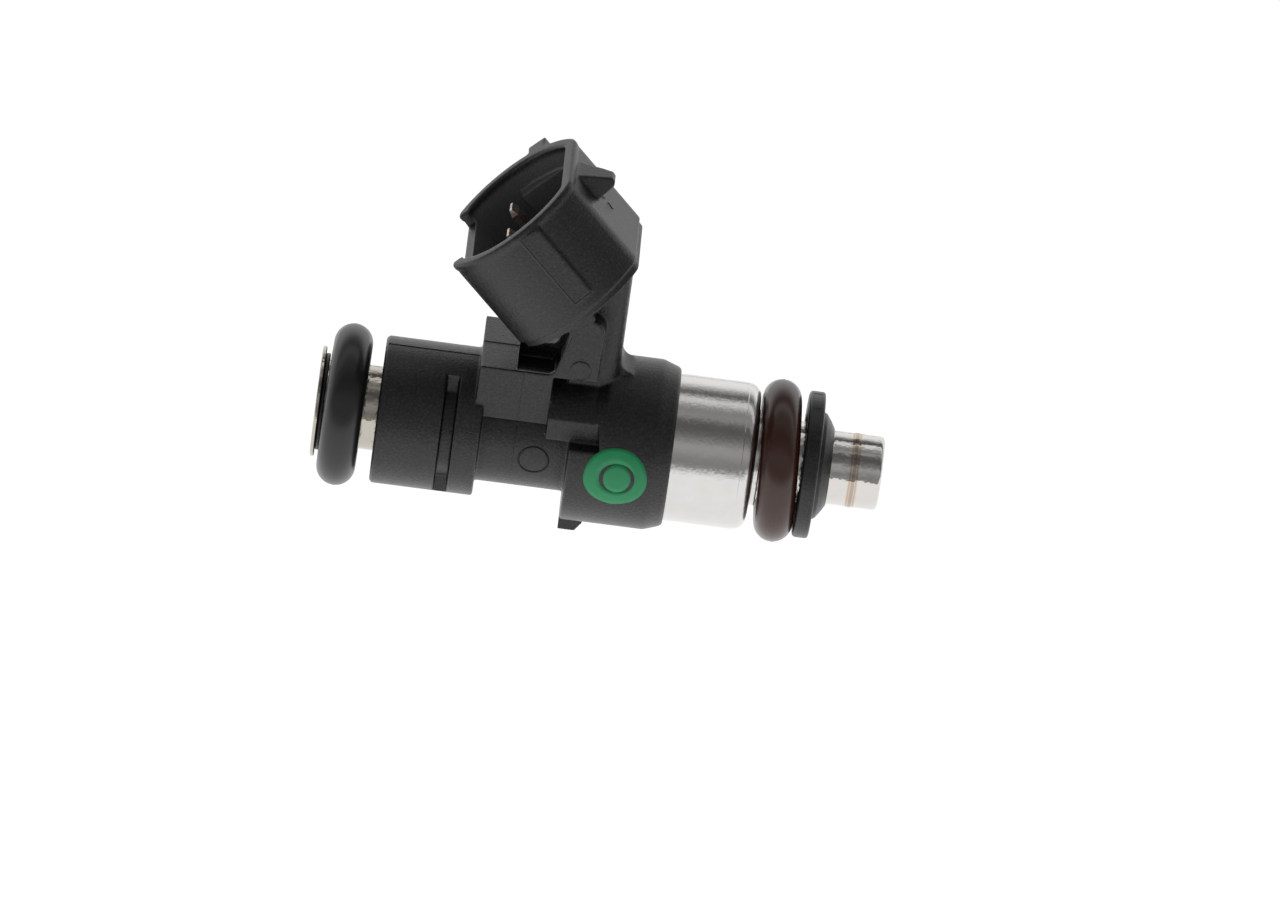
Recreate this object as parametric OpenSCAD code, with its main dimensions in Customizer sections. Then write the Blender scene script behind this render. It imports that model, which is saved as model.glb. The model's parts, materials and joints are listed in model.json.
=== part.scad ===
// Solenoid fuel injector of the compact port type, lying on its side.
// Local modules measure along the injector's axis from the nozzle tip (z), outward toward the
// connector (x) and sideways (y). in_row() then turns the axis to X, with the spray toward +X and
// the connector toward +Z, and puts the origin at the middle of the manifold seal.

/* [Valve sleeve] */
// Overall length along the axis
body_length = 50.85; // [50.6:0.05:51.2]
// Radius of the nozzle end
nozzle_r = 3.33; // [3.3:0.01:3.36]
// Radius of the rest of the sleeve
sleeve_r = 3.8; // [3.78:0.01:3.82]
// Wall thickness of the sleeve
sleeve_wall = 0.45; // [0.4:0.01:0.48]
// Radius of the flange at the fuel inlet
flange_r = 5; // [4.6:0.1:5.4]
// Thickness of that flange
flange_t = 0.4; // [0.3:0.05:0.5]

/* [Seals] */
// Section diameter of both O-rings
ring_section = 3.48; // [3.3:0.02:3.5]
// Radius of the middle of the O-ring section
ring_major_r = 5.55; // [5.55:0.01:5.6]
// Middle of the manifold O-ring
manifold_seal_z = 9.3; // [9.2:0.05:9.35]
// Middle of the rail O-ring
rail_seal_z = 48.3; // [48.1:0.05:48.3]
// Lean of the manifold O-ring in its groove, degrees
manifold_seal_lean = 3; // [0:0.5:3]
// Lean of the rail O-ring in its groove, degrees
rail_seal_lean = -1; // [-1:0.5:1]

/* [Magnet] */
// Outer radius of the steel housing
housing_r = 6.63; // [6.5:0.01:6.8]
// Nozzle end of the housing
housing_z = 11.5; // [11.4:0.05:11.7]
// Inlet end of the housing
housing_top_z = 25; // [24.6:0.1:25.2]
// Wall thickness of the housing
housing_wall = 1; // [0.8:0.05:1.05]

/* [Needle] */
// Lift of the needle from its seat
needle_lift = 0.09; // [0.06:0.01:0.09]
// Radius of the valve ball
ball_r = 1.6; // [1.5:0.05:1.65]
// Running clearance round the armature, on the radius
armature_clearance = 0.05; // [0.03:0.01:0.08]

/* [Moulded body] */
// Radius of the clip collar
collar_r = 6.63; // [6.5:0.01:6.8]
// Radius of the waist between collar and sleeve
waist_r = 5.2; // [5:0.05:5.4]
// Radius of the moulded sleeve over the housing
mould_r = 7.68; // [7.6:0.01:7.8]
// Half width of the bracket under the connector
bracket_half = 4.95; // [4.7:0.05:5]
// Half width of the web across the clip slots
slot_web = 3; // [2.8:0.1:3.6]

/* [Connector] */
// Lean of the socket from the injector's axis, degrees
socket_lean = 45; // [44:0.5:46]
// Outer radius of the shroud
shroud_r = 8.05; // [7.9:0.05:8.2]
// Wall thickness of the shroud
shroud_wall = 1; // [0.9:0.05:1.1]
// Height of the shroud between its two flats
shroud_h = 13; // [12.8:0.1:13.2]
// Depth of the socket
socket_depth = 8.2; // [7.8:0.1:8.4]
// Distance between the two terminal blades
terminal_pitch = 5; // [4.8:0.1:5.2]
// Width of a terminal blade
blade_w = 1.8; // [1.6:0.1:2]
// Thickness of a terminal blade
blade_t = 0.64; // [0.5:0.02:0.8]

/* [Hidden] */
$fn = 96;
eps = 0.01;
far = 40;                  // longer than any cut needs to be

// Sleeve
sleeve_bore = sleeve_r - sleeve_wall;
nozzle_bore = nozzle_r - sleeve_wall;
nozzle_end_z = 4.6;        // where the nozzle end widens into the sleeve
step = sleeve_r - nozzle_r;
tip_round = 0.4;
inlet_lead = 0.2;
inlet_bore = sleeve_bore + 0.2;
inlet_depth = 4;           // the widened mouth above the filter

// Seat and needle
disc_z = 0.1;
disc_t = 0.25;
seat_z = disc_z + disc_t;
seat_top_z = 3.6;
ball_z = 2.5;
seat_gap = 0.01;
outlet_r = 0.6;
guide_r = ball_r + 0.02;
spray_hole_r = 0.12;
spray_circle_r = 0.35;
spray_holes = 4;
ball_flats = 5;
ball_flat_r = 1.38;
tube_r = 1.3;
tube_bore = 0.85;
tube_top_z = 15.9;
port_r = 0.4;
armature_z = 14;
armature_r = sleeve_bore - armature_clearance;
pole_z = 19.5;
armature_top_z = pole_z - needle_lift - eps;
pocket_z = 16.2;           // floor of the spring pocket in the armature
pole_top_z = 31;
pole_bore = 1.6;
spring_r = 1.2;            // middle of the wire
wire_r = 0.18;
spring_turns = 9;
adjuster_z = 26.5;
adjuster_bore = 0.95;

// Magnet
pot_floor_z = housing_z + 1.4;
pot_bore = housing_r - housing_wall;
neck_z = 10.92;
neck_r = 4.3;
washer_t = 1.2;
washer_z = housing_top_z - washer_t;
bobbin_wall = 0.5;
bobbin_flange = 0.7;
bobbin_r = pot_bore - 0.05;
winding_r = 5.35;
post_r0 = 3.95;
post_r1 = 4.7;
post_w = 1;
foot_z = 27.3;             // inlet-side face of the bobbin posts, where the terminals rest

// Stations of the moulded body
mould_z = 18.85;
mould_top_z = 28.05;
collar_z = 36;
collar_top_z = 45.3;
slot_z = 38.35;
slot_w = 1.2;
saddle_z = 26;
saddle_top_z = 30.2;
saddle_r = 7.25;
saddle_half = 5.85;
saddle_ledge = 2.2;
bracket_r = 8.13;
bracket_top_z = 36.75;
recess_z = 33.45;
panel_t = 0.45;
recess_end = 1;             // how far the recess goes past the axis
column_z = 24.4;
column_half = 3;
column_round = 1.1;
column_top_z = 28.8;
tab_half = 1;

// Connector frame: origin at the rim of the flat nearest the inlet
rim_z = 40.33;
rim_r = 17.84;
shroud_mid = 6.2;          // centre of the round sides, from that flat
corner_r = 2.2;            // rounded corners beside the latch
shroud_depth = 9.6;
base_depth = 10.4;
base_step = 0.3;
bead = 0.1;
bead_h = 0.6;
notch_half = 4.4;
notch_depth = 1.3;
key_h = 1.1;
guide_depth = 2.3;
blade_s = 5;
blade_tip = 1.3;
tip_bevel = 0.7;
leg_w = 0.9;               // the blades narrow below the bend, toward the middle plane
leg_in = 0.3;
// the blades leave the socket along its axis and turn down the column at this depth
bend_t = (rim_z - blade_s * sin(socket_lean) - foot_z - blade_t / 2) / cos(socket_lean);

module in_row() rotate([0, -90, 0]) translate([0, 0, -manifold_seal_z]) children();

// A solid of revolution about the axis, from points [radius, z]
module turned(points) rotate_extrude() polygon(points);

// A ring between two radii and two stations
module ring(outer, inner, from, to) turned([
    [inner, from], [outer, from], [outer, to], [inner, to]
]);

// A cylinder between two stations
module bar(radius, from, to) translate([0, 0, from]) cylinder(h = to - from, r = radius);

// A slab across the axis, from an outline of points [height toward the connector, z]
module slab(points, half) rotate([90, 0, 0])
    linear_extrude(2 * half, center = true) polygon(points);

// A block between two corners
module block(low, high) translate(low) cube(high - low);

// Points round an arc, from angle a to angle b
function arc(centre, radius, a, b, steps = 6) = [
    for (i = [0 : steps])
        centre + radius * [cos(a + (b - a) * i / steps), sin(a + (b - a) * i / steps)]
];

// The connector's frame: x from the inlet-side flat to the latch, z out of the socket
module in_socket() translate([rim_r, 0, rim_z]) rotate([0, socket_lean, 0]) children();

// Section of the shroud: a circle cut by two flats, with rounded corners beside the latch,
// grown outward by grow. The corner arcs run a little way outside the circle.
module shroud_section(grow = 0) {
    outer = shroud_r + grow;
    corner = corner_r + grow;
    top = shroud_h + grow;
    corner_s = top - corner;
    corner_u = 0.04 + sqrt(pow(outer - corner, 2) - pow(corner_s - shroud_mid, 2));
    leave = 42;
    rim = concat(
        arc([corner_s, corner_u], corner, 0, leave, 6),
        [[corner_s + corner * cos(leave), corner_u + corner * sin(leave)]
            + outer * [-sin(leave), cos(leave)]],
        [[-grow, 2 * outer]]
    );
    intersection() {
        translate([shroud_mid, 0]) circle(outer);
        polygon(concat(rim, [for (i = [len(rim) - 1 : -1 : 0]) [rim[i][0], -rim[i][1]]]));
    }
}

module sleeve_outline() turned(concat(
    [[0, -1]],
    [[nozzle_r, -1], [nozzle_r, nozzle_end_z], [sleeve_r, nozzle_end_z + step]],
    [[sleeve_r, far + 11], [0, far + 11]]
));

module valve_sleeve() color("silver") in_row() turned(concat(
    [[nozzle_bore, 0]],
    arc([nozzle_r - tip_round, tip_round], tip_round, -90, 0),
    [
        [nozzle_r, nozzle_end_z], [sleeve_r, nozzle_end_z + step],
        [sleeve_r, body_length - flange_t], [flange_r, body_length - flange_t],
        [flange_r, body_length], [inlet_bore + inlet_lead, body_length],
        [inlet_bore, body_length - inlet_lead], [inlet_bore, body_length - inlet_depth],
        [sleeve_bore, body_length - inlet_depth - 0.1],
        [sleeve_bore, nozzle_end_z + step + 0.1], [nozzle_bore, nozzle_end_z + 0.1]
    ]
));

// The seat's cone stands a seat_gap clear of the ball, at 45 degrees
function cone_r(z) = z - ball_z + (ball_r + seat_gap) * sqrt(2);

module valve_seat() color("silver") in_row() turned([
    [outlet_r, seat_z], [nozzle_bore, seat_z], [nozzle_bore, seat_top_z],
    [guide_r + 0.3, seat_top_z], [guide_r, seat_top_z - 0.3],
    [guide_r, guide_r - cone_r(0)], [outlet_r, outlet_r - cone_r(0)]
]);

module orifice_disc() color("lightgray") in_row() difference() {
    bar(nozzle_bore, disc_z, seat_z);
    for (i = [0 : spray_holes - 1]) rotate([0, 0, 45 + i * 360 / spray_holes])
        translate([spray_circle_r, 0, -eps]) cylinder(h = 1, r = spray_hole_r, $fn = 24);
}

module valve_ball() color("silver") in_row() difference() {
    translate([0, 0, ball_z]) sphere(ball_r);
    for (i = [0 : ball_flats - 1]) rotate([0, 0, i * 360 / ball_flats])
        translate([ball_flat_r, -1, ball_z - 0.6]) cube([1, 2, 1.2]);
}

module needle_tube() color("silver") in_row() difference() {
    ring(tube_r, tube_bore, ball_z + 0.8, tube_top_z);
    translate([0, 0, ball_z]) sphere(ball_r);
    for (z = [5.2, 12.2]) translate([0, 0, z]) rotate([90, 0, 0])
        cylinder(h = 4, r = port_r, center = true, $fn = 32);
}

module armature() color("dimgray") in_row() difference() {
    union() {
        bar(armature_r, armature_z + 0.2, armature_top_z);
        bar(armature_r - 0.3, armature_z, armature_z + 0.3);
    }
    bar(tube_r, armature_z - 1, tube_top_z);
    bar(tube_bore, armature_z - 1, pocket_z + 1);
    bar(spring_r + wire_r + 0.12, pocket_z, pole_z);
}

module inner_pole() color("gray") in_row() difference() {
    bar(sleeve_bore, pole_z, pole_top_z);
    bar(pole_bore, pole_z - 1, pole_top_z + 1);
}

module adjusting_sleeve() color("silver") in_row() difference() {
    bar(pole_bore, adjuster_z, pole_top_z - 0.6);
    bar(adjuster_bore, adjuster_z - 1, pole_top_z);
}

// The coils are stacked rings, a stand-in for the wound wire
module return_spring() color("silver") in_row() {
    low = pocket_z + wire_r;
    pitch = (adjuster_z - pocket_z - 2 * wire_r) / (spring_turns - 1);
    for (i = [0 : spring_turns - 1]) translate([0, 0, low + i * pitch])
        rotate_extrude() translate([spring_r, 0]) circle(wire_r, $fn = 24);
    for (side = [0, 180]) rotate([0, 0, side]) translate([spring_r, 0, low])
        cylinder(h = (spring_turns - 1) * pitch, r = wire_r * 0.6, $fn = 16);
}

module magnet_housing() color("lightgray") in_row() {
    round_r = 1.1;
    turned(concat(
        [[sleeve_r, neck_z], [neck_r, neck_z], [neck_r, housing_z]],
        arc([housing_r - round_r, housing_z + round_r], round_r, -90, 0),
        [
            [housing_r, housing_top_z], [pot_bore, housing_top_z],
            [pot_bore, pot_floor_z], [sleeve_r, pot_floor_z]
        ]
    ));
}

module bobbin_post(side) block(
    [post_r0, side * terminal_pitch / 2 - post_w / 2, washer_z - 0.2],
    [post_r1, side * terminal_pitch / 2 + post_w / 2, foot_z]
);

module coil_bobbin() color("khaki") in_row() union() {
    core_r = sleeve_r + bobbin_wall;
    low = pot_floor_z + 0.05;
    ring(core_r, sleeve_r, low, washer_z);
    ring(bobbin_r, sleeve_r, low, low + bobbin_flange);
    ring(bobbin_r, sleeve_r, washer_z - bobbin_flange, washer_z);
    for (side = [-1, 1]) bobbin_post(side);
}

module coil_winding() color("peru") in_row() ring(
    winding_r, sleeve_r + bobbin_wall,
    pot_floor_z + 0.05 + bobbin_flange, washer_z - bobbin_flange
);

module coil_leads() color("peru") in_row() for (side = [-1, 1])
    translate([post_r0 + 0.35, side * (terminal_pitch / 2 - post_w / 2 - 0.16), 0])
        bar(0.14, housing_top_z, foot_z, $fn = 16);

module flux_washer() color("gray") in_row() difference() {
    ring(pot_bore, sleeve_r, washer_z, housing_top_z);
    block([post_r0 - 0.1, -3.2, washer_z - 1], [far, 3.2, far]);
}

module retaining_ring() color("#1c1d1f") in_row() difference() {
    turned(concat(
        [[nozzle_r, 4.62]],
        [[3.45, 4.6], [4, 4.9], [4.45, 5.15], [4.75, 5.45], [4.85, 5.75]],
        arc([6.6 - 0.25, 5.75 + 0.25], 0.25, -90, 0, 4),
        arc([6.6 - 0.35, 7.2 - 0.35], 0.35, 0, 90, 4),
        [[4.6, 7.2], [4.6, 6.6], [nozzle_r, 6.6]]
    ));
    sleeve_outline();
}

module o_ring(z, lean) translate([0, 0, z]) rotate([0, 0, 28]) rotate([0, -lean, 0])
    rotate_extrude() translate([ring_major_r, 0]) circle(ring_section / 2, $fn = 64);

module manifold_o_ring() color("#4a2a28") in_row() o_ring(manifold_seal_z, manifold_seal_lean);

module rail_o_ring() color("#15171a") in_row() o_ring(rail_seal_z, rail_seal_lean);

module rail_backup_ring() color("#202124") in_row()
    ring(4.35, sleeve_r, body_length - flange_t - 0.36, body_length - flange_t);

module filter_frame() color("ivory") in_row() {
    ring(sleeve_bore - 0.35, 2.35, 45.3, 46.5);
    bar(2.45, 38.4, 39);
    for (i = [0 : 3]) rotate([0, 0, 45 + i * 90])
        block([1.95, -0.3, 38.9], [2.5, 0.3, 45.4]);
    ring(2.75, 2.05, 44.6, 45.4);
}

module filter_mesh() color("gainsboro") in_row() ring(1.93, 1.85, 39, 44.6);

module filter_ring() color("goldenrod") in_row()
    ring(sleeve_bore, sleeve_bore - 0.35, 45.1, 46.3);

module terminal(side) in_row() {
    // centre line: down the socket, round the bend and down the column
    turn = (90 - socket_lean) / 2;
    outer = blade_t / 2;
    bend_r = rim_r + blade_s * cos(socket_lean) - bend_t * sin(socket_lean);
    intersection() {
        union() {
            in_socket() translate([blade_s, 0, 0]) rotate([90, 0, 0])
                linear_extrude(blade_w, center = true) polygon([
                    [-outer, -bend_t - outer * tan(turn)],
                    [-outer, -blade_tip - tip_bevel], [-0.12, -blade_tip],
                    [0.12, -blade_tip], [outer, -blade_tip - tip_bevel],
                    [outer, -bend_t + outer * tan(turn)]
                ]);
            translate([0, -side * leg_in, 0]) slab([
                [post_r0, foot_z], [bend_r + outer * tan(turn), foot_z],
                [bend_r - outer * tan(turn), foot_z + blade_t], [post_r0, foot_z + blade_t]
            ], leg_w / 2);
        }
        // the tip also narrows across its width
        in_socket() rotate([90, 0, 90]) translate([0, 0, -far])
            linear_extrude(2 * far) polygon([
                [-blade_w, -far], [blade_w, -far], [blade_w, -blade_tip - tip_bevel],
                [blade_w / 2 - 0.05, -blade_tip - tip_bevel + 0.1],
                [blade_w / 2 - 0.2, -blade_tip], [-blade_w / 2 + 0.2, -blade_tip],
                [-blade_w / 2 + 0.05, -blade_tip - tip_bevel + 0.1],
                [-blade_w, -blade_tip - tip_bevel]
            ]);
    }
}

module terminal_at(side) translate([0, side * terminal_pitch / 2, 0]) terminal(side);

module terminal_left() color("#b08d74") terminal_at(-1);

module terminal_right() color("#b08d74") terminal_at(1);

// The moulded sleeve round the housing, with the flat-sided saddle let into it
module mould_sleeve() difference() {
    turned([
        [0, mould_z], [7, mould_z], [7.2, mould_z + 0.25], [mould_r - 0.03, 20.4],
        [mould_r, 20.6], [mould_r, mould_top_z - 0.2], [mould_r - 0.2, mould_top_z],
        [0, mould_top_z]
    ]);
    // the saddle's hollow, with a sloped end toward the nozzle
    difference() {
        slab([[saddle_ledge, 25], [far, 25], [far, far], [saddle_ledge, far]], 9);
        turned([
            [0, 20], [8.2, 20], [8.2, 24.9], [mould_r, 25.15], [saddle_r, saddle_z],
            [saddle_r, far], [0, far]
        ]);
    }
    for (side = [-1, 1]) intersection() {
        slab([[saddle_ledge, 25.35], [6.5, saddle_z], [far, saddle_z], [far, far], [saddle_ledge, far]], 9);
        block([0, side > 0 ? saddle_half : -far, 0], [far, side > 0 ? far : -saddle_half, far]);
    }
}

module saddle() intersection() {
    bar(saddle_r, saddle_z - 1, saddle_top_z);
    block([saddle_ledge, -saddle_half, 0], [far, saddle_half, far]);
}

module collar() difference() {
    turned([
        [0, collar_z], [collar_r - 0.15, collar_z], [collar_r, collar_z + 0.15],
        [collar_r, collar_top_z - 0.25], [collar_r - 0.25, collar_top_z], [0, collar_top_z]
    ]);
    // clip slots, one on each side
    difference() {
        bar(collar_r + 1, slot_z, slot_z + slot_w);
        bar(waist_r, slot_z - 1, slot_z + slot_w + 1);
        block([-far, -slot_web, 0], [far, slot_web, 2 * far]);
    }
    // flats that carry the bracket's sides into the collar
    for (side = [-1, 1]) block(
        [4.2, side > 0 ? bracket_half : -far, collar_z - 1],
        [far, side > 0 ? far : -bracket_half, bracket_top_z]
    );
}

// Side view of the bracket: panel beside the waist, then the arm up to the socket
module bracket() difference() {
    slab(concat(
        [[3.14, saddle_top_z], [3.14, collar_z - 0.05], [4.2, collar_z - 0.05]],
        [[4.2, bracket_top_z], [bracket_r, bracket_top_z], [bracket_r, 30.95]],
        [[8.2, 30.5], [8.6, 30.1], [12.3, 29.05], [13.1, 30.3]],
        [[15.5, 27.9], [14.1, 27.2]],
        arc([12.6, 27.5], 1.35, 0, -90, 5),
        [[7.9, 26.3], [7.9, saddle_top_z]]
    ), bracket_half);
    // recess behind a thin side panel, under the socket
    intersection() {
        slab([
            [6.6, recess_z], [6.6, 30.4], [8.6, 29.55], [12, 28.7], [12.9, 29.9], [13.5, 31],
            [13.5, recess_z]
        ], bracket_half - panel_t);
        block([0, -bracket_half, 0], [far, recess_end, far]);
    }
}

module column() intersection() {
    union() {
        block([4, -column_half, column_z + column_round], [far, column_half, column_top_z]);
        block([4, -column_half + column_round, column_z],
            [far, column_half - column_round, column_top_z]);
        for (side = [-1, 1])
            translate([4, side * (column_half - column_round), column_z + column_round])
                rotate([0, 90, 0]) cylinder(h = far, r = column_round);
        // fillet at the foot of the column
        slab(concat(
            [[6, column_z + 1], [9.2, column_z + 0.5]],
            arc([8.9, column_z - 1.2], 1.2, 90, 180, 5),
            [[6, column_z - 1.2]]
        ), column_half - column_round);
    }
    in_socket() block([-far, -far, -2 * far], [far, far, -base_depth + 0.5]);
    slab([[4, 20], [far, 20], [far, 27], [15, 27.6], [12, 29.3], [8, 30], [4, 30]], 9);
}

module latch() in_socket() intersection() {
    rotate([90, 0, 0]) linear_extrude(4, center = true) polygon([
        [shroud_h - 0.5, -bead_h - 0.4], [shroud_h, -bead_h - 0.4],
        [shroud_h + 1.85, -3.05], [shroud_h + 2.05, -3.3], [shroud_h + 2, -3.75],
        [shroud_h + 1.7, -4], [shroud_h - 0.5, -4]
    ]);
    translate([0, 0, -5]) linear_extrude(5) polygon([
        [shroud_h - 0.5, -1.6], [shroud_h + 2.4, -0.6], [shroud_h + 2.4, 0.6],
        [shroud_h - 0.5, 1.6]
    ]);
}

// A flat pad on one round side of the shroud and a keying rib on the other
module pads() in_socket() {
    translate([0, 0, -8.4]) linear_extrude(8.4 - bead_h)
        polygon([[7.3, -6], [7.3, -shroud_r - 0.03], [9.2, -shroud_r + 0.2], [9.2, -6]]);
    block([7.5, 6, -8.4], [9.4, shroud_r + key_h, 0]);
}

module shroud() in_socket() {
    translate([0, 0, -shroud_depth]) linear_extrude(shroud_depth) shroud_section();
    translate([0, 0, -bead_h]) linear_extrude(bead_h) shroud_section(bead);
    translate([0, 0, -base_depth]) linear_extrude(base_depth - 5) shroud_section(-base_step);
}

module socket() in_socket() {
    difference() {
        translate([0, 0, -socket_depth]) linear_extrude(socket_depth + 1)
            shroud_section(-shroud_wall);
        // guide rib on the inner wall
        block([5.2, 5.9, -socket_depth - 1], [10.4, far, -guide_depth]);
    }
    block([-1, -notch_half, -notch_depth], [2, notch_half, 1]);
}

// Small tab on the side away from the connector
module tab() slab([
    [-6.5, 25.8], [-8.4, 25.9], [-9.25, 26.5], [-9.25, 28], [-6.5, 28]
], tab_half);

module overmould_body() color("#232527") difference() {
    in_row() difference() {
        union() {
            mould_sleeve();
            bar(waist_r, mould_top_z - 1, collar_z + 1);
            collar();
            saddle();
            bracket();
            column();
            difference() {
                union() {
                    shroud();
                    latch();
                    pads();
                }
                socket();
            }
            tab();
        }
        sleeve_outline();
        bar(housing_r, 10, housing_top_z);
        for (side = [-1, 1]) bobbin_post(side);
    }
    terminal_at(-1);
    terminal_at(1);
    coil_leads();
}

overmould_body();
terminal_left();
terminal_right();
valve_sleeve();
rail_backup_ring();
rail_o_ring();
manifold_o_ring();
retaining_ring();
magnet_housing();
coil_bobbin();
coil_winding();
flux_washer();
inner_pole();
adjusting_sleeve();
return_spring();
armature();
needle_tube();
valve_ball();
valve_seat();
orifice_disc();
filter_frame();
filter_mesh();
filter_ring();
coil_leads();
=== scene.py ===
"""Looks of the fuel injector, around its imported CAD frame. Metres; +X is the spray direction."""

import json
import math

import bmesh
import bpy
from mathutils import Matrix, Vector

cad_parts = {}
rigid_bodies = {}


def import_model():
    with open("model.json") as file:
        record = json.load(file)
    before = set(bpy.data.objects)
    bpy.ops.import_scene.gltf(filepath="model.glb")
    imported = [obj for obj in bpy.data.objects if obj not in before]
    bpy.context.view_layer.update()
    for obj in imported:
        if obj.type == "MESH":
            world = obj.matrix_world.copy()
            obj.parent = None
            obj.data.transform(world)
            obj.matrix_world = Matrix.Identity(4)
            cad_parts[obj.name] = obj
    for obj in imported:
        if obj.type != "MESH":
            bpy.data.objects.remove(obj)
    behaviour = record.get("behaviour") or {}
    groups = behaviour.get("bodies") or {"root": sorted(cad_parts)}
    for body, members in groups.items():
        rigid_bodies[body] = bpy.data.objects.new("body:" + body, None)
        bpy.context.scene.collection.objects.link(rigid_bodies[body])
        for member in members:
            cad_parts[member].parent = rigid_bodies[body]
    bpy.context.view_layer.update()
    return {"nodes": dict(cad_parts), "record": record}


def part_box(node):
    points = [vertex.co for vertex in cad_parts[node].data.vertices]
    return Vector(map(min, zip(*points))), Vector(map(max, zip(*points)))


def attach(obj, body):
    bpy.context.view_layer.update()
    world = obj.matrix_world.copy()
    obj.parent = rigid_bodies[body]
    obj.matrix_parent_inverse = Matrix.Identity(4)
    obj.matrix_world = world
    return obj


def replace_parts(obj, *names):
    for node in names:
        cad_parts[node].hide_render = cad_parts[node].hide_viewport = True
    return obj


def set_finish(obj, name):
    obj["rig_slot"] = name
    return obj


MM = 0.001
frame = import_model()
CAD_NODES = frame["nodes"]
TIP_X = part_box("valve_sleeve")[1].x  # the nozzle's end, where stations along the axis start
ROOT = "injector"

# Directions and sizes that the pieces share, in mm, as in the CAD source
MOULD_R = 7.68
WAIST_R = 5.2
COLLAR_R = 6.63
HOUSING_R = 6.63
SLEEVE_R = 3.8
NOZZLE_R = 3.33
BRACKET_HALF = 4.95
RING_MAJOR_R = 5.55
RING_R = 1.74
SOCKET_RIM = (40.33, 17.84)  # station and height of the socket's inlet-side rim
SOCKET_LEAN = math.radians(45)
SHROUD_H = 13  # between the shroud's flats
SHROUD_MID = 6.2  # centre of its round sides, from the inlet-side flat
SHROUD_R = 8.05
SHROUD_WALL = 1
VOXEL = 0.1  # grid of the softened body
VIEW_ELEVATION = 28  # degrees above the injector's flank


def station(z):
    """X of a station z mm from the nozzle tip."""
    return TIP_X - z * MM


def on_round(z, radius, degrees):
    """A point on a cylinder about the axis; 0 degrees is toward the connector, 90 toward -Y."""
    a = math.radians(degrees)
    return Vector((station(z), -radius * math.sin(a) * MM, radius * math.cos(a) * MM))


def in_socket(s, u, t):
    """A point in the connector's frame: s from the inlet-side flat, u toward -Y, t down the socket."""
    z = SOCKET_RIM[0] - (s + t) * math.cos(SOCKET_LEAN)
    r = SOCKET_RIM[1] + (s - t) * math.sin(SOCKET_LEAN)
    return Vector((station(z), -u * MM, r * MM))


# ---------------------------------------------------------------- camera


def camera():
    """Long lens from the connector side, above the injector's flank, rolled so that the axis dips."""
    azimuth, elevation, roll = (math.radians(a) for a in (-1.3, VIEW_ELEVATION, 8.02))
    distance, lens = 0.947, 298
    level = Vector((math.cos(azimuth), math.sin(azimuth), 0))
    back = Vector(
        (
            math.sin(azimuth) * math.cos(elevation),
            -math.cos(azimuth) * math.cos(elevation),
            math.sin(elevation),
        )
    )
    upright = back.cross(level)
    right = math.cos(roll) * level + math.sin(roll) * upright
    up = back.cross(right)
    # the view's middle is on the waist, a little under the axis
    low = 1.29 * MM
    aim = Vector((station(21.53), -low * math.sin(elevation), -low * math.cos(elevation)))
    data = bpy.data.cameras.new("camera")
    data.lens = lens
    data.sensor_width = 36
    data.clip_start = 0.01
    data.clip_end = 20
    obj = bpy.data.objects.new("camera", data)
    turn = Matrix((right, up, back)).transposed().to_4x4()
    obj.matrix_world = Matrix.Translation(aim + back * distance) @ turn
    bpy.context.scene.collection.objects.link(obj)
    bpy.context.scene.camera = obj


# ---------------------------------------------------------------- mesh helpers


def add_piece(name, mesh, slot, body=ROOT):
    """Links a mesh as a piece that rides on a body and takes its finish from a slot."""
    obj = bpy.data.objects.new(name, mesh)
    bpy.context.scene.collection.objects.link(obj)
    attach(obj, body)
    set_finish(obj, slot)
    return obj


def mesh_of(name, vertices, faces, smooth=True):
    mesh = bpy.data.meshes.new(name)
    mesh.from_pydata([tuple(v) for v in vertices], [], faces)
    mesh.validate()
    mesh.polygons.foreach_set("use_smooth", [smooth] * len(mesh.polygons))
    mesh.update()
    return mesh


def rounded(corners, steps=7):
    """Closed outline through corners (z, r, fillet), each fillet an arc with a short straight lead."""
    points = []
    count = len(corners)
    for i, (z, r, fillet) in enumerate(corners):
        here = Vector((z, r))
        before = Vector(corners[i - 1][:2]) - here
        after = Vector(corners[(i + 1) % count][:2]) - here
        half = before.angle(after) / 2
        if fillet <= 0 or half > math.radians(89.5):
            points.append(here)
            continue
        # neighbouring fillets share an edge in proportion to their sizes
        room_before = before.length * 0.98 * fillet / (fillet + corners[i - 1][2])
        room_after = after.length * 0.98 * fillet / (fillet + corners[(i + 1) % count][2])
        cut = min(fillet / math.tan(half), room_before, room_after)
        radius = cut * math.tan(half)
        start, end = here + before.normalized() * cut, here + after.normalized() * cut
        centre = here + (before.normalized() + after.normalized()).normalized() * (
            radius / math.sin(half)
        )
        lead = min(0.015, cut * 0.2)
        points.append(start + before.normalized() * lead)
        a, b = start - centre, end - centre
        swing = a.angle_signed(b)
        for k in range(steps + 1):
            turn = swing * k / steps
            c, s = math.cos(-turn), math.sin(-turn)
            points.append(centre + Vector((a.x * c - a.y * s, a.x * s + a.y * c)))
        points.append(end + after.normalized() * lead)
    return points


def lathe(name, outline, segments=224):
    """A solid of revolution about the axis, from a closed outline of points (z, r) in mm."""
    vertices, faces = [], []
    count = len(outline)
    for k in range(segments):
        vertices += [on_round(p[0], p[1], 360 * k / segments) for p in outline]
    for k in range(segments):
        a, b = k * count, (k + 1) % segments * count
        for i in range(count):
            j = (i + 1) % count
            faces.append((a + i, a + j, b + j, b + i))
    mesh = mesh_of(name, vertices, faces)
    outward(mesh)
    return mesh


def outward(mesh):
    """Turns all faces outward."""
    bm = bmesh.new()
    bm.from_mesh(mesh)
    bmesh.ops.recalc_face_normals(bm, faces=bm.faces)
    bm.to_mesh(mesh)
    bm.free()


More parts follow.
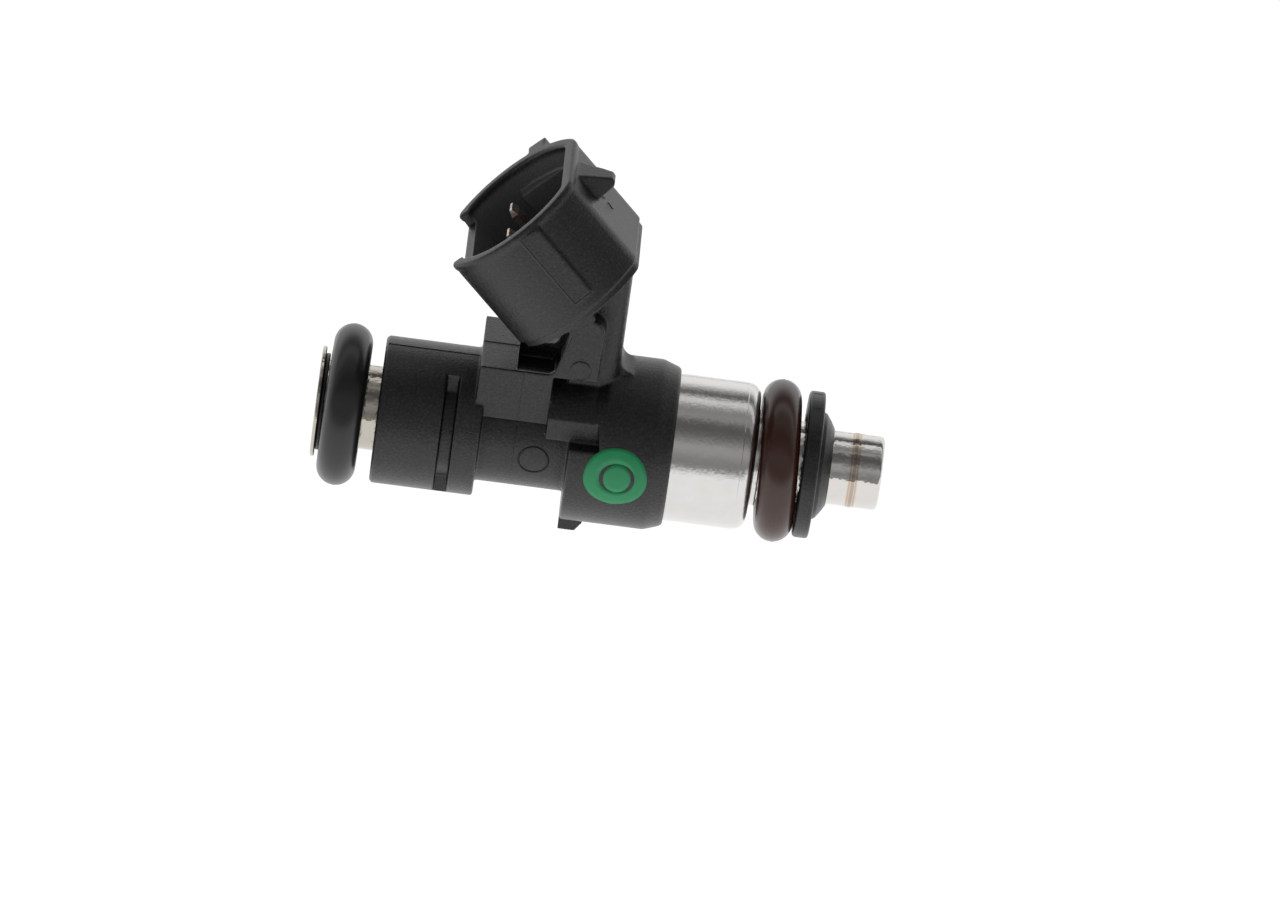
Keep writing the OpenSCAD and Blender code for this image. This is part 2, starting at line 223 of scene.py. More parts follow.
def torus(name, z, major, minor, lean, flash, segments=256, around=72):
    """An O-ring that leans in its groove, with a moulding flash line round its outside."""
    vertices, faces = [], []
    turn = Matrix.Rotation(math.radians(-lean), 3, "Y")
    roll = Matrix.Rotation(math.radians(VIEW_ELEVATION), 3, "Z")
    flash_half = 0.05
    for i in range(segments):
        a = 2 * math.pi * i / segments
        for k in range(around):
            b = 2 * math.pi * k / around
            off = (b + math.pi) % (2 * math.pi) - math.pi
            r = minor + flash * math.exp(-((off * minor / flash_half) ** 2))
            ring = major + r * math.cos(b)
            p = roll @ turn @ Vector((ring * math.cos(a), ring * math.sin(a), r * math.sin(b)))
            vertices.append(Vector((station(z + p.z), p.y * MM, p.x * MM)))
    for i in range(segments):
        for k in range(around):
            j, m = (i + 1) % segments, (k + 1) % around
            faces.append((i * around + k, i * around + m, j * around + m, j * around + k))
    mesh = mesh_of(name, vertices, faces)
    outward(mesh)
    return mesh


def bead(name, path, radius, closed=False, sides=8):
    """A thin round bead along a path of points in metres, such as a moulding witness line."""
    vertices, faces = [], []
    count = len(path)
    for i, p in enumerate(path):
        ahead = path[(i + 1) % count] if closed or i + 1 < count else p
        behind = path[i - 1] if closed or i > 0 else p
        along = (ahead - behind).normalized()
        side = along.cross(Vector((0.3, 0.5, 0.81))).normalized()
        rise = along.cross(side)
        for k in range(sides):
            a = 2 * math.pi * k / sides
            vertices.append(p + (side * math.cos(a) + rise * math.sin(a)) * radius * MM)
    for i in range(count if closed else count - 1):
        a, b = i * sides, (i + 1) % count * sides
        for k in range(sides):
            m = (k + 1) % sides
            faces.append((a + k, a + m, b + m, b + k))
    if not closed:
        faces.append(tuple(range(sides)))
        faces.append(tuple((count - 1) * sides + k for k in reversed(range(sides))))
    mesh = mesh_of(name, vertices, faces)
    outward(mesh)
    return mesh


def socket_place(p):
    """The inverse of in_socket: (s, u, t) in mm of a point in metres."""
    z = (TIP_X - p.x) / MM
    along, across = SOCKET_RIM[0] - z, p.z / MM - SOCKET_RIM[1]
    c, d = math.cos(SOCKET_LEAN), math.sin(SOCKET_LEAN)
    return along * c + across * d, -p.y / MM, along * d - across * c


def on_rim(p):
    """Whether a point is on the shroud's rim."""
    s, u, t = socket_place(p)
    return -0.7 < t < 0.95 and -1 < s < SHROUD_H + 0.4 and abs(u) < SHROUD_R + 0.45


def at_foot(p):
    """Whether a point is where the column's foot runs into the moulded sleeve."""
    z, r = (TIP_X - p.x) / MM, p.z / MM
    return 22.6 < z < 25.2 and 7.2 < r < 9.4


def soften(mesh, inside, passes):
    """Rounds one region further, which the mould leaves fuller than the other edges."""
    bm = bmesh.new()
    bm.from_mesh(mesh)
    region = [v for v in bm.verts if inside(v.co)]
    for _ in range(passes):
        bmesh.ops.smooth_vert(
            bm, verts=region, factor=0.5, use_axis_x=True, use_axis_y=True, use_axis_z=True
        )
    bm.to_mesh(mesh)
    bm.free()


def moulded(name, node, voxel, passes):
    """A copy of a CAD node with its edges softened as a mould leaves them."""
    source = bpy.data.objects.new(name + "_source", CAD_NODES[node].data.copy())
    bpy.context.scene.collection.objects.link(source)
    remesh = source.modifiers.new("remesh", "REMESH")
    remesh.mode = "VOXEL"
    remesh.voxel_size = voxel * MM
    remesh.use_smooth_shade = True
    soften = source.modifiers.new("soften", "SMOOTH")
    soften.factor = 0.5
    soften.iterations = passes
    graph = bpy.context.evaluated_depsgraph_get()
    mesh = bpy.data.meshes.new_from_object(source.evaluated_get(graph))
    mesh.name = name
    bpy.data.objects.remove(source)
    mesh.materials.clear()
    return mesh


# ---------------------------------------------------------------- materials


class Nodes:
    """A material's node tree, with short calls for what the materials share."""

    def __init__(self, name):
        self.material = bpy.data.materials.new(name)
        self.material.use_nodes = True
        self.tree = self.material.node_tree
        self.shader = self.tree.nodes["Principled BSDF"]
        self.place = self.add("ShaderNodeTexCoord").outputs["Object"]

    def add(self, kind, **settings):
        node = self.tree.nodes.new(kind)
        for key, value in settings.items():
            if hasattr(node, key):
                setattr(node, key, value)
            else:
                node.inputs[key].default_value = value
        return node

    def link(self, out, into):
        self.tree.links.new(out, into)

    def put(self, **values):
        """Sets the shader's own sockets: underscores stand for spaces."""
        for key, value in values.items():
            self.shader.inputs[key.replace("_", " ")].default_value = value

    def noise(self, scale, detail=4, roughness=0.55, stretch=None):
        noise = self.add("ShaderNodeTexNoise", Scale=scale, Detail=detail, Roughness=roughness)
        source = self.place
        if stretch:
            mapping = self.add("ShaderNodeMapping", Scale=stretch)
            self.link(source, mapping.inputs["Vector"])
            source = mapping.outputs["Vector"]
        self.link(source, noise.inputs["Vector"])
        return noise.outputs["Fac"]

    def math(self, operation, a, b=None, c=None):
        node = self.add("ShaderNodeMath", operation=operation)
        for socket, value in zip(node.inputs, (a, b, c)):
            if value is None:
                continue
            if isinstance(value, (int, float)):
                socket.default_value = value
            else:
                self.link(value, socket)
        return node.outputs[0]

    def ramp(self, factor, stops):
        node = self.add("ShaderNodeValToRGB")
        elements = node.color_ramp.elements
        while len(elements) < len(stops):
            elements.new(0.5)
        for element, (position, colour) in zip(elements, stops):
            element.position = position
            element.color = (*colour, 1)
        self.link(factor, node.inputs["Fac"])
        return node.outputs["Color"]

    def between(self, factor, low, high):
        """Maps a 0 to 1 factor onto low to high."""
        node = self.add("ShaderNodeMapRange")
        self.link(factor, node.inputs["Value"])
        node.inputs["To Min"].default_value = low
        node.inputs["To Max"].default_value = high
        return node.outputs["Result"]

    def mix(self, factor, a, b):
        node = self.add("ShaderNodeMix", data_type="RGBA")
        for socket, value in ((node.inputs[0], factor), (node.inputs[6], a), (node.inputs[7], b)):
            if isinstance(value, tuple):
                socket.default_value = (*value, 1)
            elif isinstance(value, (int, float)):
                socket.default_value = value
            else:
                self.link(value, socket)
        return node.outputs[2]

    def axis(self, letter):
        split = self.add("ShaderNodeSeparateXYZ")
        self.link(self.place, split.inputs[0])
        return split.outputs[letter]

    def along(self, direction, offset):
        """Distance along a direction, in metres, less an offset."""
        node = self.add("ShaderNodeVectorMath", operation="DOT_PRODUCT")
        self.link(self.place, node.inputs[0])
        node.inputs[1].default_value = direction
        return self.math("SUBTRACT", node.outputs["Value"], offset)

    def band(self, value, middle, half, soft):
        """1 where value is within half of middle, falling to 0 over soft; all in metres."""
        away = self.math("ABSOLUTE", self.math("SUBTRACT", value, middle))
        node = self.add("ShaderNodeMapRange", interpolation_type="SMOOTHSTEP")
        self.link(away, node.inputs["Value"])
        node.inputs["From Min"].default_value = half
        node.inputs["From Max"].default_value = half + soft
        node.inputs["To Min"].default_value = 1
        node.inputs["To Max"].default_value = 0
        return node.outputs["Result"]

    def bump(self, height, strength, distance):
        """Adds a height on top of what the shader's normal already has."""
        node = self.add("ShaderNodeBump", Strength=strength, Distance=distance)
        self.link(height, node.inputs["Height"])
        normal = self.shader.inputs["Normal"]
        if normal.is_linked:
            self.link(normal.links[0].from_socket, node.inputs["Normal"])
        self.link(node.outputs["Normal"], normal)


def plastic(name, dark, light, rough=(0.27, 0.35), grain=1.0, inner=None):
    """Glass-filled moulded plastic: fine grain, faint flow marks and an uneven sheen."""
    n = Nodes(name)
    flow = n.noise(420, 3, 0.5, (1, 1, 2.2))
    fine = n.noise(4500, 3, 0.7)
    grain_height, dent_height = 0.00007, 0.00006
    base = n.mix(flow, dark, light)
    # glass fibre ends show as paler specks in a darker grain
    stops = ((0.34, 0.2), (0.5, 1.0), (0.6, 1.7), (0.7, 3.4))
    specks = n.ramp(fine, [(position, (gain,) * 3) for position, gain in stops])
    tinted = n.add("ShaderNodeVectorMath", operation="MULTIPLY")
    n.link(base, tinted.inputs[0])
    n.link(specks, tinted.inputs[1])
    colour = tinted.outputs[0]
    # inside the shroud the base colour turns paler: painted light for what reaches the inner walls through
    # the mouth
    if inner:
        painted_light_grain = n.mix(fine, tuple(c * 0.8 for c in inner), tuple(c * 1.2 for c in inner))
        colour = n.mix(socket_painted_light_mask(n), colour, painted_light_grain)
    n.link(colour, n.shader.inputs["Base Color"])
    n.link(n.between(n.noise(5200, 2, 0.6), *rough), n.shader.inputs["Roughness"])
    n.put(Specular_IOR_Level=0.57)
    n.bump(fine, 0.8 * grain, grain_height)
    n.bump(n.noise(1500, 2), 0.12 * grain, dent_height)
    return n.material


def socket_painted_light_mask(n):
    """1 inside the connector's shroud, where the inner walls take a paler base colour as painted light."""
    c, d = math.cos(SOCKET_LEAN), math.sin(SOCKET_LEAN)
    # s and t of in_socket, as directions in X and Z with their offsets
    low = TIP_X - SOCKET_RIM[0] * MM
    high = SOCKET_RIM[1] * MM
    s = n.along((c, 0, d), c * low + d * high)
    t = n.along((d, 0, -c), d * low - c * high)
    off = n.math("SUBTRACT", s, SHROUD_MID * MM)
    y = n.axis("Y")
    away = n.math("SQRT", n.math("ADD", n.math("MULTIPLY", off, off), n.math("MULTIPLY", y, y)))
    edge, lead_in, margin = 0.1 * MM, 0.6 * MM, 0.1
    half = SHROUD_H / 2
    across = n.band(s, half * MM, (half - SHROUD_WALL + margin) * MM, edge)
    deep = n.band(t, 5.4 * MM, 4.4 * MM, lead_in)
    around = n.band(away, 0, (SHROUD_R - SHROUD_WALL + margin) * MM, edge)
    return n.math("MULTIPLY", n.math("MULTIPLY", across, deep), around)


def rubber(name, dark, light, rough=(0.26, 0.36)):
    """Oiled moulded rubber with a soft mottling."""
    n = Nodes(name)
    grain_height = 0.00002
    mottle = n.noise(900, 4, 0.6)
    n.link(n.mix(mottle, dark, light), n.shader.inputs["Base Color"])
    n.link(n.between(n.noise(500, 2), *rough), n.shader.inputs["Roughness"])
    n.put(Specular_IOR_Level=0.63)
    n.bump(n.noise(5000, 3), 0.12, grain_height)
    return n.material


def steel(name, colour, rough=(0.12, 0.2), lines=0.25, speckle=0.0, tint=None, waves=0.0):
    """Drawn or turned steel: fine lines round the axis, with pits or waves where asked."""
    n = Nodes(name)
    line_height, pit_height, dust_height, wave_height = 0.000004, 0.000035, 0.00001, 0.00007
    around = n.noise(40, 3, 0.6, (300, 6, 6))
    pits = n.noise(4200, 4, 0.65, (1, 0.45, 0.45))
    worn = n.mix(n.noise(700, 4), tuple(c * 0.9 for c in colour), colour)
    n.put(Metallic=1.0)
    n.link(n.between(pits, *rough), n.shader.inputs["Roughness"])
    n.bump(around, lines, line_height)
    if speckle:
        n.bump(pits, speckle, pit_height)
        n.bump(n.noise(9500, 3, 0.6), speckle, dust_height)
    if waves:
        n.bump(n.noise(1500, 1, 0.5, (1, 1.3, 1.3)), waves, wave_height)
    n.link(tint(n, worn) if tint else worn, n.shader.inputs["Base Color"])
    return n.material


def heat_tint(n, colour):
    """Straw and blue temper colours beside the laser weld near the tip."""
    x = n.axis("X")
    for z, half, soft, shade in (
        (2.5, 0.25, 0.3, (0.56, 0.42, 0.3)), (2.5, 0.08, 0.14, (0.25, 0.22, 0.19)),
        (2.2, 0.02, 0.1, (0.5, 0.29, 0.15)), (2.8, 0.02, 0.1, (0.48, 0.3, 0.16)),
    ):
        mask = n.band(x, station(z), half * MM, soft * MM)
        colour = n.mix(n.math("MULTIPLY", mask, 0.5), colour, shade)
    # the inlet end is duller and warmer than the ground nozzle
    inlet = n.band(x, station(49), 3.6 * MM, 0.0003)
    return n.mix(inlet, colour, (0.52, 0.49, 0.43))


def blade_metal(name):
    """Tin over bronze: pale tin, with copper showing through in patches."""
    n = Nodes(name)
    wear = n.noise(1500, 4, 0.6)
    n.link(
        n.ramp(wear, [(0.35, (0.5, 0.33, 0.24)), (0.62, (0.82, 0.74, 0.68))]),
        n.shader.inputs["Base Color"],
    )
    n.put(Metallic=1.0, Roughness=0.28)
    n.bump(n.noise(2500, 3, 0.6, (1, 4, 1)), 0.12, 0.00001)
    return n.material


def paint(name):
    """Opaque marking paint with a slightly uneven film."""
    n = Nodes(name)
    film = n.noise(1500, 4, 0.6)
    n.link(n.mix(film, (0.007, 0.26, 0.095), (0.011, 0.33, 0.12)), n.shader.inputs["Base Color"])
    n.put(Roughness=0.42)
    n.bump(n.noise(7000, 3), 0.2, 0.00002)
    return n.material


def woven(name):
    """Filter cloth: a fine square weave."""
    n = Nodes(name)
    waves = []
    for direction in ("X", "Z"):
        wave = n.add("ShaderNodeTexWave", bands_direction=direction, Scale=2500.0)
        n.link(n.place, wave.inputs["Vector"])
        waves.append(wave.outputs["Fac"])
    weave = n.math("MULTIPLY", *waves)
    n.link(n.mix(weave, (0.3, 0.29, 0.26), (0.75, 0.74, 0.7)), n.shader.inputs["Base Color"])
    n.put(Roughness=0.7)
    n.bump(weave, 0.5, 0.00003)
    return n.material


def wound(name):
    """Enamelled copper wire, turn beside turn."""
    n = Nodes(name)
    wave = n.add("ShaderNodeTexWave", bands_direction="X", Scale=1600.0)
    n.link(n.place, wave.inputs["Vector"])
    turns = wave.outputs["Fac"]
    n.link(n.mix(turns, (0.2, 0.05, 0.02), (0.62, 0.22, 0.08)), n.shader.inputs["Base Color"])
    n.put(Metallic=0.8, Roughness=0.3, Coat_Weight=0.4)
    n.bump(turns, 0.8, 0.00006)
    return n.material


def finishes():
    """One material per slot of the record."""
    return {
        # its inner colour is painted light on the inner walls of the shroud
        "black_plastic": plastic(
            "black_plastic", (0.008, 0.0085, 0.0095), (0.012, 0.0125, 0.0135), inner=(0.11, 0.112, 0.115)
        ),
        "ring_plastic": plastic(
            "ring_plastic", (0.007, 0.0075, 0.008), (0.011, 0.0115, 0.012), (0.3, 0.38), 0.6
        ),
        "tinned_blade": blade_metal("tinned_blade"),
        "sleeve_steel": steel("sleeve_steel", (0.74, 0.72, 0.69), (0.06, 0.11), 0.35, 0.1, heat_tint, 0.5),
        "housing_steel": steel("housing_steel", (0.74, 0.73, 0.71), (0.08, 0.15), 0.2, 0.75),
        "magnet_steel": steel("magnet_steel", (0.42, 0.42, 0.43), (0.25, 0.4), 0.4),
        "needle_steel": steel("needle_steel", (0.76, 0.76, 0.77), (0.06, 0.1), 0.1),
        "spring_steel": steel("spring_steel", (0.46, 0.46, 0.48), (0.25, 0.35), 0.3),
        "black_rubber": rubber("black_rubber", (0.008, 0.009, 0.0095), (0.013, 0.014, 0.015)),
        "brown_rubber": rubber("brown_rubber", (0.042, 0.0135, 0.0088), (0.06, 0.019, 0.012), (0.2, 0.29)),
        "bobbin_plastic": plastic("bobbin_plastic", (0.5, 0.42, 0.28), (0.6, 0.52, 0.36), (0.4, 0.5)),
        "copper_wire": wound("copper_wire"),
        "filter_plastic": plastic("filter_plastic", (0.62, 0.6, 0.55), (0.72, 0.7, 0.64), (0.35, 0.45)),
        "filter_cloth": woven("filter_cloth"),
        "filter_brass": steel("filter_brass", (0.72, 0.5, 0.22), (0.2, 0.3), 0.3),
    }


# ---------------------------------------------------------------- pieces


def sleeve_outline():
    """The drawn steel sleeve, with its weld bead and the rolled inlet flange."""
    weld = [
        (1.96, NOZZLE_R, 0), (2.04, NOZZLE_R - 0.02, 0), (2.16, NOZZLE_R - 0.01, 0),
        (2.28, NOZZLE_R + 0.03, 0), (2.5, NOZZLE_R + 0.045, 0), (2.72, NOZZLE_R + 0.03, 0),
        (2.84, NOZZLE_R - 0.01, 0), (2.96, NOZZLE_R - 0.02, 0), (3.04, NOZZLE_R, 0),
    ]
    return rounded(
        [(0, 2.88, 0.06), (0, NOZZLE_R, 0.4)]
        + weld
        + [
            (4.6, NOZZLE_R, 0.3), (5.07, SLEEVE_R, 0.3),
            (50.45, SLEEVE_R, 0.12), (50.45, 5, 0.16), (50.85, 5, 0.16), (50.85, 3.55, 0.24),
            (46.85, 3.55, 0.05), (46.75, 3.35, 0.05), (5.17, 3.35, 0), (4.7, 2.88, 0),
        ]
    )


def housing_outline():
    """The deep-drawn magnet housing and its neck."""
    return rounded([
        (10.92, SLEEVE_R, 0.05), (10.92, 4.3, 0.12), (11.5, 4.3, 0.12), (11.5, HOUSING_R - 0.05, 1.05),
        (12.62, HOUSING_R - 0.05, 0.05), (12.68, HOUSING_R, 0.05),
        (25, HOUSING_R, 0.1), (25, 5.63, 0), (12.9, 5.63, 0.3), (12.9, SLEEVE_R, 0),
    ])


def ring_outline():
    """The snap-on plastic ring that holds the lower seal, with its domed hub."""
    return rounded([
        (4.6, 3.36, 0.05), (4.6, 3.5, 0.08), (4.95, 4.1, 0.5), (5.4, 4.72, 0.3), (5.74, 4.86, 0.08),
        (5.78, 6.6, 0.26), (7.2, 6.6, 0.32), (7.2, 4.6, 0.1), (6.6, 4.6, 0.1), (6.6, 3.82, 0.05),
        (5.09, 3.82, 0), (4.62, 3.35, 0),
    ])


def backup_outline():
    return rounded([
        (50.09, 3.81, 0.05), (50.09, 4.35, 0.1), (50.45, 4.35, 0.1), (50.45, 3.81, 0.05),
    ])


def round_pieces():
    """Turned and moulded rings that replace their plain CAD nodes."""
    outlines = (
        ("sleeve_tube", "valve_sleeve", "sleeve_steel", sleeve_outline()),
        ("housing_shell", "magnet_housing", "housing_steel", housing_outline()),
        ("snap_ring", "retaining_ring", "ring_plastic", ring_outline()),
        ("support_ring", "rail_backup_ring", "ring_plastic", backup_outline()),
    )
    for name, node, slot, outline in outlines:
        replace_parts(add_piece(name, lathe(name, outline), slot), node)
    seals = (
        ("manifold_seal_ring", "manifold_o_ring", "brown_rubber", 9.3, 3, 0.03),
        ("rail_seal_ring", "rail_o_ring", "black_rubber", 48.3, -1, 0.015),
    )
    for name, node, slot, z, lean, flash in seals:
        mesh = torus(name, z, RING_MAJOR_R, RING_R, lean, flash)
        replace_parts(add_piece(name, mesh, slot), node)


def body_piece():
    """The moulded body: soft at all its edges, and softer on its rim and at the column's foot."""
    voxel, rim_passes, foot_passes = ((VOXEL, 12, 16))
    mesh = moulded("moulded_body", "overmould_body", voxel, 4)
    soften(mesh, on_rim, rim_passes)
    soften(mesh, at_foot, foot_passes)
    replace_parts(add_piece("moulded_body", mesh, "black_plastic"), "overmould_body")


def inner_web():
    """The web that joins the arm to the saddle behind the pocket, out of the open air."""
    low, high, start, end, bevel = 6, 8.05, 27.6, 30.6, 0.15
    corners = [
        Vector((station(z), y * MM, r * MM))
        for y in (1.0, 2.6) for z, r in ((start, low), (end, low), (end, high), (start, high))
    ]
    faces = [(0, 1, 2, 3), (4, 5, 6, 7)] + [
        (k, (k + 1) % 4, (k + 1) % 4 + 4, k + 4) for k in range(4)
    ]
    mesh = mesh_of("inner_web", corners, faces, smooth=False)
    outward(mesh)
    bm = bmesh.new()
    bm.from_mesh(mesh)
    bmesh.ops.bevel(
        bm, geom=bm.edges[:], offset=bevel * MM, segments=3, profile=0.5, affect="EDGES"
    )
    bm.to_mesh(mesh)
    bm.free()
    add_piece("inner_web", mesh, "black_plastic")


def circle_on(point, radius, count=64):
    """Points round a circle, where point(a, b) places the offsets a and b in mm."""
    return [
        point(radius * math.cos(2 * math.pi * k / count), radius * math.sin(2 * math.pi * k / count))
        for k in range(count)
    ]


def flat_disc(name, point, radius, height, rings=5, count=72):
    """A thin disc lying on a surface; point(a, b, h) places offsets in mm, h above the surface."""
    vertices, faces = [point(0, 0, height)], []
    levels = [(radius * k / rings, height) for k in range(1, rings + 1)] + [(radius * 1.02, -0.05)]
    for r, h in levels:
        vertices += [
            point(r * math.cos(2 * math.pi * k / count), r * math.sin(2 * math.pi * k / count), h)
            for k in range(count)
        ]
    for k in range(count):
        m = (k + 1) % count
        faces.append((0, 1 + k, 1 + m))
        for i in range(len(levels) - 1):
            a, b = 1 + i * count, 1 + (i + 1) * count
            faces.append((a + k, b + k, b + m, a + m))
    faces.append(tuple(1 + (len(levels) - 1) * count + k for k in range(count)))
    mesh = mesh_of(name, vertices, faces)
    outward(mesh)
    return mesh


def line_on(name, path, radius, slot="black_plastic"):
    return add_piece(name, bead(name, path, radius), slot)


def steps(start, end, count):
    return [start + (end - start) * k / count for k in range(count + 1)]


def parting_lines():
    """Flash lines where the mould halves met: along the top, and round the waist."""
    tops = {
        "flash_collar": (36.8, 45.1, 6.64), "flash_block": (33.5, 36.7, 8.14),
    }
    for name, (start, end, height) in tops.items():
        path = [
            Vector((station(z), 0.012 * MM * math.sin(z * 9), height * MM))
            for z in steps(start, end, 40)
        ]
        line_on(name, path, 0.045)
    waist = [on_round(32.85, WAIST_R, a) for a in steps(62, 298, 90)]
    line_on("flash_waist", waist, 0.025)
    for sign, label in ((-1, "near"), (1, "far")):
        side = [
            Vector((station(32.85), sign * (BRACKET_HALF + 0.005) * MM, h * MM))
            for h in steps(3.3, 7.95, 20)
        ]
        line_on(f"flash_panel_{label}", side, 0.025)
    line_on("flash_flank", [on_round(z, MOULD_R, 31) for z in steps(19.6, 23.4, 12)], 0.02)
    # the step of the retaining ring's mould, near its top
    for name, degrees in (("flash_ring_near", 12), ("flash_ring_far", -12)):
        path = [on_round(z, 6.6, degrees) for z in steps(6.05, 6.9, 6)]
        line_on(name, path, 0.03, "ring_plastic")


def witness_marks():
    """Ejector marks and lines on the black body."""
    disc_z, disc_r = 27.9, 8.97
    disc = flat_disc(
        "ejector_disc",
        lambda a, b, h: Vector((station(disc_z + a), -(BRACKET_HALF + h) * MM, (disc_r + b) * MM)),
        0.95, 0.035,
    )
    add_piece("ejector_disc", disc, "black_plastic")
    ring_z, ring_degrees, ring_radius = 31.0, 95.2, 1.33
    path = circle_on(
        lambda a, b: on_round(
            ring_z + a, WAIST_R - 0.03, ring_degrees + math.degrees(b / WAIST_R)
        ),
        ring_radius,
    )
    # the ring is a raised bead in a darker plastic whose dark colour is painted shade, standing for an
    # engraved groove; the pad's step bead and the dashes take it too
    mark = add_piece("waist_ring", bead("waist_ring", path, 0.11, closed=True), "black_plastic")
    mark.data.materials.append(
        plastic("painted_shade_plastic", (0.003, 0.003, 0.0035), (0.005, 0.005, 0.0055), (0.55, 0.65))
    )
    for z in (44.65, 42.25, 37.9):
        name = f"mould_line_{round(z * 100)}"
        path = [on_round(z, COLLAR_R - 0.005, a) for a in range(-176, 181, 4)]
        add_piece(name, bead(name, path, 0.022, closed=True), "black_plastic")
    # outline of the pad on the shroud's near side, and two short dashes behind the latch
    pad_start, pad_end, pad_top, pad_foot = 7.3, 9.15, 0.62, 8.4
    pad_u, slope = 8.08, 0.121
    corners = [(pad_end, pad_top), (pad_start, pad_top), (pad_start, pad_foot), (pad_end, pad_foot)]
    path = [in_socket(s, pad_u - slope * (s - pad_start), t) for s, t in corners]
    line_on("pad_outline", path, 0.035)
    # a dark bead along the foot of the pad's step, in the darker plastic: a painted shadow of the step
    foot = [in_socket(9.24, 7.52, t) for t in steps(0.7, 8.35, 10)]
    step = line_on("pad_step_shadow", foot, 0.1)
    step.data.materials.append(mark.data.materials[0])
    # the dashes take the darker plastic: painted shade of recessed dashes
    for name, start, end in (("dash_upper", 4.3, 4.75), ("dash_lower", 5.2, 5.95)):
        path = [in_socket(SHROUD_H, 0.1 * math.sin(9 * t), t) for t in steps(start, end, 5)]
        dash = line_on(name, path, 0.055)
        dash.data.materials.append(mark.data.materials[0])


def paint_spot():
    """The round inspection mark: a ring and a middle, parted beside the mould's ejector circle."""
    spot_z, spot_degrees, above, film = 23.62, 88.8, 0.02, 0.03
    core_r, spot_r, seam = 1.4, 2.84, 0.02

    def spot_point(a, b):
        return on_round(spot_z + a, MOULD_R + above, spot_degrees + math.degrees(b / MOULD_R))

    def edge(a):
        return spot_r * (1 + 0.004 * math.sin(5 * a) + 0.003 * math.sin(9 * a))

    turns = 96
    vertices, faces = [], []
    middle = (-0.15, 0.03)

    def add_ring(radius, centre):
        start = len(vertices)
        for k in range(turns):
            a = 2 * math.pi * k / turns
            r = radius(a) if callable(radius) else radius
            vertices.append(spot_point(r * math.cos(a) + centre[0], r * math.sin(a) + centre[1]))
        return start

    def join(inner, outer):
        for k in range(turns):
            m = (k + 1) % turns
            faces.append((inner + k, outer + k, outer + m, inner + m))

    def gap(a):
        # wide beside the circle, closed above and below it
        return 0.17 * abs(math.cos(a)) ** 1.6

    core = [add_ring(r, middle) for r in (0.01, 0.35, 0.7, 1.0)]
    core.append(add_ring(lambda a: core_r - gap(a), middle))
    rim = [add_ring(lambda a: core_r + seam + gap(a), middle)]
    rim += [add_ring(r, (0, 0)) for r in (1.9, 2.2, 2.5)]
    rim.append(add_ring(edge, (0, 0)))
    faces.append(tuple(core[0] + k for k in range(turns)))
    for chain in (core, rim):
        for inner, outer in zip(chain, chain[1:]):
            join(inner, outer)
    mesh = mesh_of("paint_spot", vertices, faces)
    outward(mesh)
    bm = bmesh.new()
    bm.from_mesh(mesh)
    bmesh.ops.solidify(bm, geom=bm.faces[:], thickness=film * MM)
    bm.to_mesh(mesh)
    bm.free()
    outward(mesh)
    spot = add_piece("paint_spot", mesh, "black_plastic")
    spot.data.materials.append(paint("marking_paint"))


# ---------------------------------------------------------------- studio


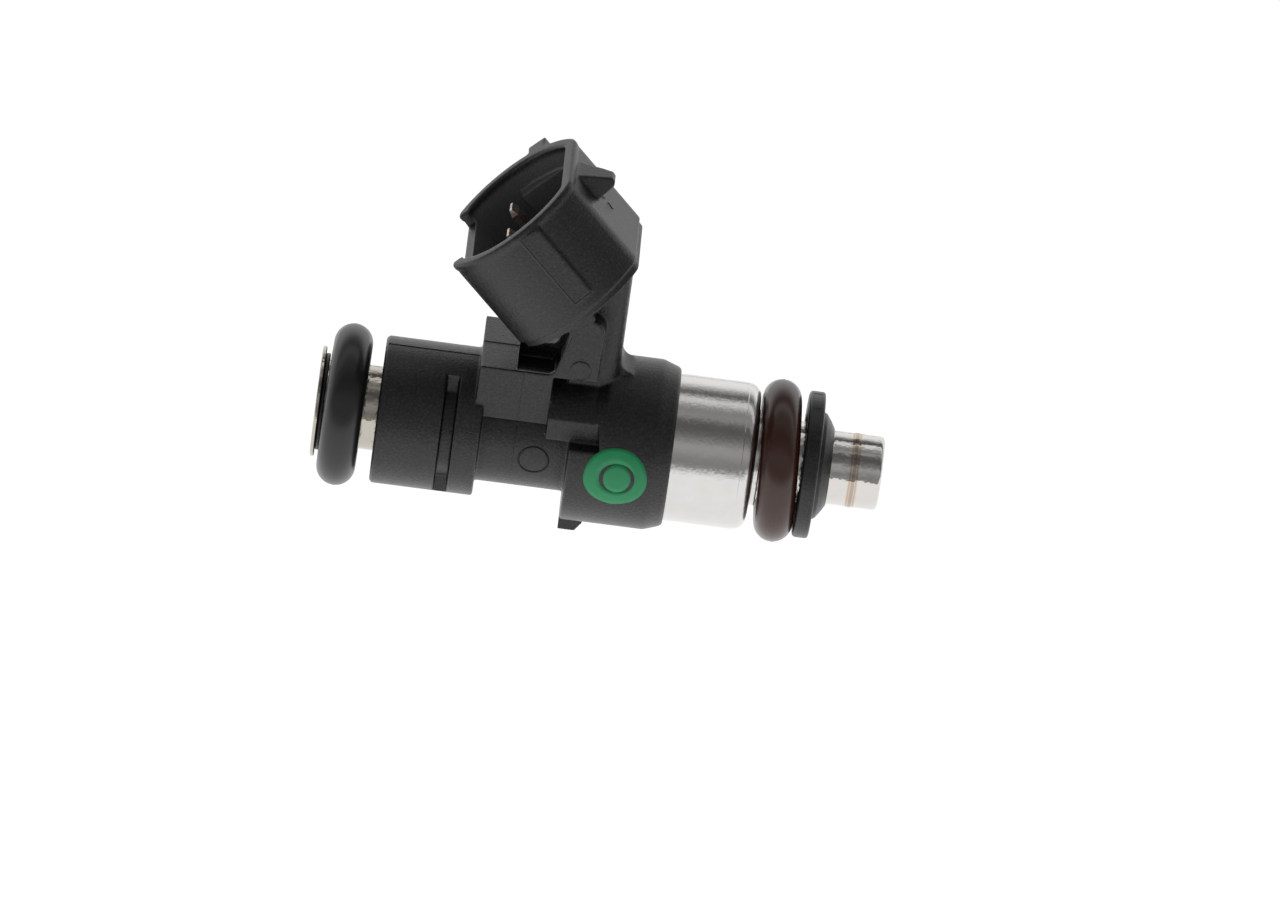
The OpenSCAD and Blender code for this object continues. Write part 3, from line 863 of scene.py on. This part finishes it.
def world_light():
    """A dark room over a white table: brightness runs round the injector's axis."""
    scene = bpy.context.scene
    world = bpy.data.worlds.new("studio")
    scene.world = world
    world.use_nodes = True
    tree = world.node_tree
    background = tree.nodes["Background"]
    place = tree.nodes.new("ShaderNodeTexCoord")
    split = tree.nodes.new("ShaderNodeSeparateXYZ")
    tree.links.new(place.outputs["Generated"], split.inputs[0])
    front = tree.nodes.new("ShaderNodeMath")
    front.operation = "MULTIPLY"
    front.inputs[1].default_value = -1
    tree.links.new(split.outputs["Y"], front.inputs[0])
    angle = tree.nodes.new("ShaderNodeMath")
    angle.operation = "ARCTAN2"
    tree.links.new(split.outputs["Z"], angle.inputs[0])
    tree.links.new(front.outputs[0], angle.inputs[1])
    share = tree.nodes.new("ShaderNodeMapRange")
    share.inputs["From Min"].default_value = -math.pi
    share.inputs["From Max"].default_value = math.pi
    tree.links.new(angle.outputs[0], share.inputs["Value"])
    ramp = tree.nodes.new("ShaderNodeValToRGB")
    # degrees above the front horizon, and brightness there
    stops = (
        (-12, 0.55), (-5, 0.34), (3, 0.27), (10, 0.25), (20, 0.33), (33, 0.41), (45, 0.21),
        (56, 0.13), (64, 0.105), (73, 0.13), (82, 0.36), (92, 0.22), (103, 0.42), (109, 0.85),
        (116, 0.85), (122, 0.1), (130, 0.1), (141, 0.45), (152, 0.98), (170, 1.0),
    )
    elements = ramp.color_ramp.elements
    while len(elements) < len(stops):
        elements.new(0.5)
    for element, (degrees, value) in zip(elements, stops):
        element.position = (degrees + 180) / 360
        element.color = (value, value, value, 1)
    tree.links.new(share.outputs[0], ramp.inputs[0])
    tree.links.new(ramp.outputs[0], background.inputs["Color"])
    # the backdrop that the camera itself sees is plain
    plain = tree.nodes.new("ShaderNodeBackground")
    plain.inputs["Color"].default_value = (1, 1, 1, 1)
    choice = tree.nodes.new("ShaderNodeMixShader")
    path = tree.nodes.new("ShaderNodeLightPath")
    tree.links.new(path.outputs["Is Camera Ray"], choice.inputs[0])
    tree.links.new(background.outputs[0], choice.inputs[1])
    tree.links.new(plain.outputs[0], choice.inputs[2])
    tree.links.new(choice.outputs[0], tree.nodes["World Output"].inputs["Surface"])


def floor():
    """A white light table under the injector."""
    radius, drop, glow = 0.5, 0.05, 0.75
    bm = bmesh.new()
    bmesh.ops.create_circle(bm, cap_ends=True, radius=radius, segments=96)
    mesh = bpy.data.meshes.new("light_table")
    bm.to_mesh(mesh)
    bm.free()
    table = bpy.data.objects.new("light_table", mesh)
    table.location = (-0.016, 0, -drop)
    bpy.context.scene.collection.objects.link(table)
    n = Nodes("light_table")
    n.put(Base_Color=(0.8, 0.8, 0.8, 1), Roughness=0.6)
    n.put(Emission_Color=(1, 1, 1, 1), Emission_Strength=glow)
    mesh.materials.append(n.material)


def main():
    camera()
    scene = bpy.context.scene
    scene.view_settings.view_transform = "Standard"
    world_light()
    floor()
    materials = finishes()
    slot_of = {s["node"]: s["material_slot"] for s in frame["record"]["subparts"]}
    for name, node in CAD_NODES.items():
        node.data.materials.clear()
        node.data.materials.append(materials[slot_of[name]])
    body_piece()
    inner_web()
    round_pieces()
    witness_marks()
    parting_lines()
    paint_spot()
    for obj in scene.objects:
        if obj.type == "MESH" and not obj.data.materials and obj.get("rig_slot") in materials:
            obj.data.materials.append(materials[obj["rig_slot"]])


main()
